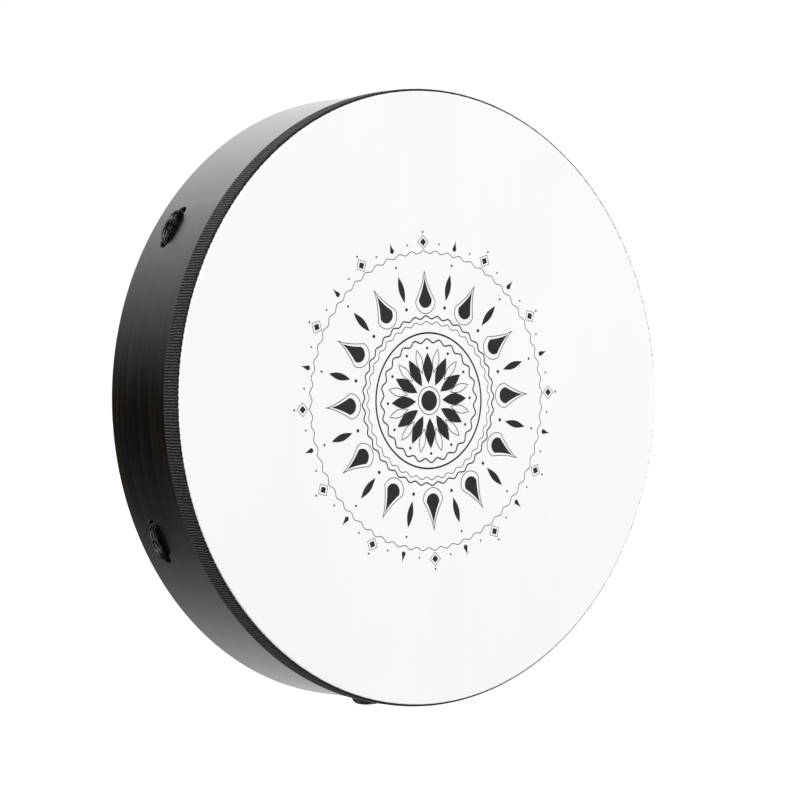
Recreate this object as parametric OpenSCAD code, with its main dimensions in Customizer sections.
// Ocean drum, 16 inches across, standing upright as it is held.
// The drum's axis is Y: the printed head faces -Y and the open back faces +Y.
// The origin is the centre of the grip ring, in the plane of the laced cord holes.

/* [Shell] */
// Outer diameter of the bent plywood shell
shell_d = 406; // [360:1:560]
// Thickness of the shell's wall
shell_t = 7; // [6:0.5:9]
// Depth of the shell from its rear rim to the edge that carries the head
shell_depth = 77.6; // [75:0.1:110]
// Radius that rounds both edges of the rear rim
rim_round = 2; // [0.5:0.1:2.4]
// Radius of the rounded outer edge under the head's shoulder
bearing_round = 0.5; // [0.3:0.1:2]
// Width of the bevel on the inner side of the edge that carries the head
bearing_bevel = 3.2; // [1:0.1:3.6]

/* [Head] */
// Thickness of the printed head
head_t = 0.4; // [0.3:0.05:0.8]
// Distance from the end of the head's skirt to the rear edge of the ribbon that covers it
skirt_tuck = 2; // [0.5:0.5:4]

/* [Ribbon] */
// Width of the woven ribbon that covers the head's skirt
ribbon_w = 16; // [12:0.5:26]
// Thickness of the ribbon
ribbon_t = 0.9; // [0.5:0.1:1.5]
// Distance of the ribbon's front edge behind the face of the head
ribbon_setback = 0.6; // [0.4:0.1:2]

/* [Bead chamber] */
// Thickness of the clear film that closes the chamber
film_t = 0.3; // [0.2:0.05:0.5]
// Radial thickness of the hoop that carries the film
hoop_t = 8; // [6:0.5:14]
// Depth of the hoop along the drum's axis
hoop_depth = 9; // [7:0.5:12]
// Distance of the hoop's rear face in front of the plane of the cord holes
hoop_from_cord = 6.85; // [4.5:0.05:12]
// Radius that rounds the inner edge of the hoop at the back
hoop_round = 2; // [0.5:0.1:2.8]
// Diameter of the brads that hold the hoop
brad_d = 1.8; // [1.4:0.1:2.4]
// Diameter of a brad's head
brad_head_d = 3.8; // [3:0.1:5]
// Depth of a brad's point in the shell
brad_bite = 4; // [2:0.5:5]

/* [Beads] */
// Diameter of a steel bead
bead_d = 6; // [5:0.1:7]
// Least running gap between one bead and the next piece
bead_gap = 0.2; // [0.1:0.05:0.5]
// Spread of the beads' places along a row
bead_spread = 0.3; // [0:0.05:1]

/* [Laced cord] */
// Diameter of the braided cord
cord_d = 5; // [4:0.1:6]
// Distance of the cord holes from the rear rim
cord_from_rim = 22.5; // [14:0.5:25]
// Distance between the two holes of a pair, along the outside of the shell
pair_w = 24; // [18:0.5:50]
// Play between the cord and its hole, all round
hole_play = 1; // [0.3:0.05:1.5]
// Least width of the chamfer on both ends of a hole
hole_chamfer = 0.7; // [0.3:0.1:1.2]
// Radius of the cord's bend where it comes out of a hole
corner_r = 5; // [3.2:0.1:6]
// Distance from the drum's axis to the inner end of a seizing
seizing_at = 41; // [37:0.5:60]
// Length of a seizing
seizing_l = 11; // [6:0.5:20]
// Thickness of the thread wound round the two strands
seizing_t = 1.2; // [0.8:0.1:2]

/* [Grip ring] */
// Diameter of the ring along the middle of its bar
ring_d = 44; // [40:1:56]
// Diameter of the ring's steel bar
bar_d = 8; // [6:0.5:9]

/* [Hidden] */
$fn = 96;

// Sizes that the fits share
glue_gap = 0.05;
soft_gap = 0.2;
cut_over = 1;
brad_head_t = 1;

// Places of the laced pairs round the shell, from +X towards +Z: they are laid out by hand
pair_angles = [24.1, 82.3, 147.2, 207.2, 267.2, 325.7];

// Places of the brads in the hoop
brads = 6;
brad_first_a = 57.2;
brad_step_a = 360 / brads;

// Shell, with the plane of the cord holes at z = 0 and the head towards +z
shell_r = shell_d / 2;
bore_r = shell_r - shell_t;
rear_z = -cord_from_rim;
edge_z = shell_depth - cord_from_rim;

// Head
head_in_z = edge_z + glue_gap;
head_out_z = head_in_z + head_t;
skirt_in_r = shell_r + glue_gap;
skirt_out_r = skirt_in_r + head_t;
shoulder_in_r = bearing_round;
shoulder_out_r = bearing_round + head_t;

// Ribbon
ribbon_in_r = skirt_out_r + glue_gap;
ribbon_front_z = head_out_z - ribbon_setback;
ribbon_rear_z = ribbon_front_z - ribbon_w;

// Film and hoop
hoop_out_r = bore_r - glue_gap;
hoop_in_r = hoop_out_r - hoop_t;
hoop_rear_z = hoop_from_cord;
film_rear_z = hoop_rear_z + hoop_depth;
film_front_z = film_rear_z + film_t;
chamber_depth = head_in_z - film_front_z;
brad_z = hoop_rear_z + hoop_depth / 2;
brad_play = 0.1;
brad_tip_r = bore_r + brad_bite;

// Beads: even rows have one column less and stand between the odd rows' columns
bead_r = bead_d / 2;
bead_sides = 24;
row_counts = [22, 17, 11];
bead_seeds = [7, 19, 31];
bead_first_z = film_front_z + bead_gap + bead_r;
bead_span = chamber_depth - 2 * bead_gap - bead_d;
bead_columns = floor(bead_span / (bead_d + bead_gap)) + 1;
column_step = bead_span / (bead_columns - 1);
staggered_step = sqrt(max(0, pow(bead_d + bead_gap, 2) - pow(column_step / 2, 2)));
row_step = max(staggered_step, (bead_d + bead_gap) / 2);
bead_pitch = bead_d + bead_gap + 2 * bead_spread;
bottom_a = -90;

// Cord
cord_r = cord_d / 2;
cord_sides = 8;
hole_r = cord_r + hole_play;
half_pair = pair_w / 2;
crown_r = shell_r + cord_r + soft_gap;
strand_v = cord_r + soft_gap / 2;
ring_r = ring_d / 2;
bar_r = bar_d / 2;
wrap_r = bar_r + cord_r + soft_gap;
leave_a = acos(wrap_r / (seizing_at - ring_r));
lead_share = 0.6;

// The outer mouth of a hole opens as wide as the inner side of the cord's bend needs
bend_in_r = corner_r - cord_r;
bend_drop = bend_in_r - soft_gap;
bend_reach = corner_r - sqrt(pow(bend_in_r, 2) - pow(bend_drop, 2));
mouth_chamfer = max(hole_chamfer, bend_reach - hole_r + soft_gap);

bight_steps = 10;
corner_steps = 4;
crown_steps = 3;

// A point outside the shell, by its radius and its distance along the shell from the pair's middle
function on_rim(r, s) = let (a = s / shell_r * 180 / PI) [r * cos(a), r * sin(a), 0];

// Half of a cord loop, from the ring's inner side to the middle of the outside stretch:
// x runs outwards, y along the shell and z towards the head
function half_route() = concat(
    [for (i = [0:bight_steps])
        let (share = i / bight_steps, a = 180 - share * (180 - leave_a))
        [ring_r + wrap_r * cos(a), strand_v * lead_share * share, wrap_r * sin(a)]],
    [[seizing_at, strand_v, 0], [seizing_at + seizing_l, strand_v, 0]],
    [on_rim(bore_r, half_pair)],
    [for (i = [0:corner_steps])
        let (a = 90 * i / corner_steps)
        on_rim(crown_r - corner_r * (1 - sin(a)), half_pair - corner_r * (1 - cos(a)))],
    [for (i = [1:crown_steps]) on_rim(crown_r, (half_pair - corner_r) * (1 - i / crown_steps))]
);

function unit(v) = v / norm(v);
function turned(p) = [p[0], -p[1], -p[2]];

// Direction of the route at each point: the ends lie on the x axis, where the loop's halves meet
function tangents(p) = let (last = len(p) - 1) [
    for (i = [0:last])
        i == 0 ? unit(p[1] - turned(p[1]))
        : i == last ? unit(turned(p[last - 1]) - p[last - 1])
        : unit(unit(p[i + 1] - p[i]) + unit(p[i] - p[i - 1]))
];

// A normal carried along the route without twist
function carried(t) = [
    for (i = 0, n = [1, 0, 0]; i < len(t); i = i + 1,
         n = i < len(t) ? unit(n - (n * t[i]) * t[i]) : n)
        n
];

// The twist that is left at the end is spread over the whole half
function cord_rings(p) = let (
    t = tangents(p),
    n = carried(t),
    last = len(p) - 1,
    side = cross(t[last], n[last]),
    left_a = atan2(side[0], n[last][0])
) [
    for (i = [0:last])
        let (b = cross(t[i], n[i]), turn_a = left_a * i / last)
        [for (j = [0:cord_sides - 1])
            let (a = 360 * j / cord_sides + turn_a)
            p[i] + cord_r * (cos(a) * n[i] + sin(a) * b)]
];

// The other half is the first turned half a turn about the x axis, so the loop closes on itself
function loop_rings() = let (
    first = cord_rings(half_route()),
    last = len(first) - 1
) concat(
    first,
    [for (i = [last - 1:-1:1])
        [for (j = [0:cord_sides - 1]) turned(first[i][(cord_sides - j) % cord_sides])]]
);

module along_axis() {
    rotate([90, 0, 0]) children();
}

// Places its children at each laced pair, shifted round the shell by the angle given
module at_pairs(shift_a = 0) {
    for (pair_a = pair_angles)
        rotate([0, 0, pair_a + shift_a]) children();
}

// Places its children at each brad
module at_brads() {
    for (i = [0:brads - 1])
        rotate([0, 0, brad_first_a + i * brad_step_a]) children();
}

// Square section of a plain ring between two radii and two heights
module ring_section(r1, r2, z1, z2) {
    translate([r1, z1]) square([r2 - r1, z2 - z1]);
}

module cord_hole() {
    rotate([0, 90, 0]) {
        translate([0, 0, bore_r - cut_over])
            cylinder(h = shell_t + 2 * cut_over, r = hole_r);
        translate([0, 0, shell_r - mouth_chamfer])
            cylinder(h = 2 * mouth_chamfer, r1 = hole_r, r2 = hole_r + 2 * mouth_chamfer);
        translate([0, 0, bore_r - hole_chamfer])
            cylinder(h = 2 * hole_chamfer, r1 = hole_r + 2 * hole_chamfer, r2 = hole_r);
    }
}

module shell_section() {
    difference() {
        ring_section(bore_r, shell_r, rear_z, edge_z);
        translate([shell_r - rim_round, rear_z]) square([rim_round, rim_round]);
        translate([bore_r, rear_z]) square([rim_round, rim_round]);
        translate([shell_r - bearing_round, edge_z - bearing_round])
            square([bearing_round, bearing_round]);
        polygon([
            [bore_r, edge_z - bearing_bevel],
            [bore_r, edge_z],
            [bore_r + bearing_bevel, edge_z]
        ]);
    }
    translate([shell_r - rim_round, rear_z + rim_round]) circle(r = rim_round);
    translate([bore_r + rim_round, rear_z + rim_round]) circle(r = rim_round);
    translate([shell_r - bearing_round, edge_z - bearing_round]) circle(r = bearing_round);
}

module shell() {
    hole_a = half_pair / shell_r * 180 / PI;
    color("#2a211d")
        along_axis()
            difference() {
                rotate_extrude() shell_section();
                at_pairs(-hole_a) cord_hole();
                at_pairs(hole_a) cord_hole();
                at_brads()
                    translate([bore_r - cut_over, 0, brad_z])
                        rotate([0, 90, 0])
                            cylinder(h = brad_bite + cut_over + brad_play, d = brad_d + 2 * brad_play);
            }
}

module front_head() {
    skirt_z = head_out_z - shoulder_out_r;
    color("#f7f7f7")
        along_axis()
            rotate_extrude() {
                translate([0, head_in_z]) square([skirt_out_r - shoulder_out_r, head_t]);
                ring_section(skirt_in_r, skirt_out_r, ribbon_rear_z + skirt_tuck, skirt_z);
                intersection() {
                    translate([skirt_out_r - shoulder_out_r, skirt_z])
                        difference() {
                            circle(r = shoulder_out_r);
                            circle(r = shoulder_in_r);
                        }
                    translate([skirt_out_r - shoulder_out_r, skirt_z])
                        square([shoulder_out_r, shoulder_out_r]);
                }
            }
}

module edge_ribbon() {
    color("#1b1b1c")
        along_axis()
            rotate_extrude()
                ring_section(ribbon_in_r, ribbon_in_r + ribbon_t, ribbon_rear_z, ribbon_front_z);
}

module rear_film() {
    color("#dfe8ec", 0.35)
        along_axis()
            translate([0, 0, film_rear_z]) cylinder(h = film_t, r = hoop_out_r);
}

module brad_bore() {
    translate([hoop_in_r - cut_over, 0, brad_z])
        rotate([0, 90, 0]) {
            cylinder(h = hoop_t + 2 * cut_over, d = brad_d + 2 * brad_play);
            cylinder(h = brad_head_t + brad_play + cut_over, d = brad_head_d + 2 * brad_play);
        }
}

module film_hoop() {
    color("#b58a5c")
        along_axis()
            difference() {
                rotate_extrude() {
                    difference() {
                        ring_section(hoop_in_r, hoop_out_r, hoop_rear_z, film_rear_z);
                        translate([hoop_in_r, hoop_rear_z]) square([hoop_round, hoop_round]);
                    }
                    translate([hoop_in_r + hoop_round, hoop_rear_z + hoop_round])
                        circle(r = hoop_round);
                }
                at_brads() brad_bore();
            }
}

module hoop_brads() {
    head_r = hoop_in_r + brad_play;
    color("#b9b9b4")
        along_axis()
            at_brads()
                translate([head_r, 0, brad_z])
                    rotate([0, 90, 0]) {
                        cylinder(h = brad_head_t, d = brad_head_d);
                        cylinder(h = brad_tip_r - brad_d - head_r, d = brad_d);
                        translate([0, 0, brad_tip_r - brad_d - head_r])
                            cylinder(h = brad_d, d1 = brad_d, d2 = 0);
                    }
}

module grip_ring() {
    color("#8d8f92")
        along_axis()
            rotate_extrude() translate([ring_r, 0]) circle(r = bar_r);
}

module seizing_outline(grow) {
    translate([0, strand_v]) circle(r = cord_r + grow);
    translate([0, -strand_v]) circle(r = cord_r + grow);
    translate([-cord_r - grow, -strand_v]) square([2 * (cord_r + grow), 2 * strand_v]);
}

module cord_seizings() {
    color("#191a1c")
        along_axis()
            at_pairs()
                translate([seizing_at, 0, 0])
                    rotate([0, 90, 0])
                        linear_extrude(height = seizing_l)
                            difference() {
                                seizing_outline(soft_gap + seizing_t);
                                seizing_outline(soft_gap);
                            }
}

module grip_cord(i) {
    rings = loop_rings();
    count = len(rings);
    faces = [
        for (k = [0:count - 1], j = [0:cord_sides - 1])
            let (
                here = k * cord_sides,
                ahead = (k + 1) % count * cord_sides,
                beside = (j + 1) % cord_sides
            )
            each [[here + j, here + beside, ahead + beside], [here + j, ahead + beside, ahead + j]]
    ];
    color("#161617")
        along_axis()
            rotate([0, 0, pair_angles[i - 1]])
                polyhedron(points = [for (ring = rings) each ring], faces = faces);
}

module bead_row(i) {
    row_r = bore_r - bead_gap - bead_r - (i - 1) * row_step;
    staggered = i % 2 == 0;
    columns = staggered ? bead_columns - 1 : bead_columns;
    first_z = bead_first_z + (staggered ? column_step / 2 : 0);
    count = row_counts[i - 1];
    shifts = rands(-bead_spread, bead_spread, count * columns, bead_seeds[i - 1]);
    color("#c3c6c9")
        along_axis()
            for (c = [0:columns - 1], k = [0:count - 1]) {
                along = (k - (count - 1) / 2) * bead_pitch + shifts[c * count + k];
                rotate([0, 0, bottom_a + along / row_r * 180 / PI])
                    translate([row_r, 0, first_z + c * column_step])
                        sphere(r = bead_r, $fn = bead_sides);
            }
}

shell();
front_head();
edge_ribbon();
rear_film();
film_hoop();
hoop_brads();
grip_ring();
cord_seizings();
grip_cord(1);  // grip_cord_1
grip_cord(2);  // grip_cord_2
grip_cord(3);  // grip_cord_3
grip_cord(4);  // grip_cord_4
grip_cord(5);  // grip_cord_5
grip_cord(6);  // grip_cord_6
bead_row(1);  // bead_row_1
bead_row(2);  // bead_row_2
bead_row(3);  // bead_row_3
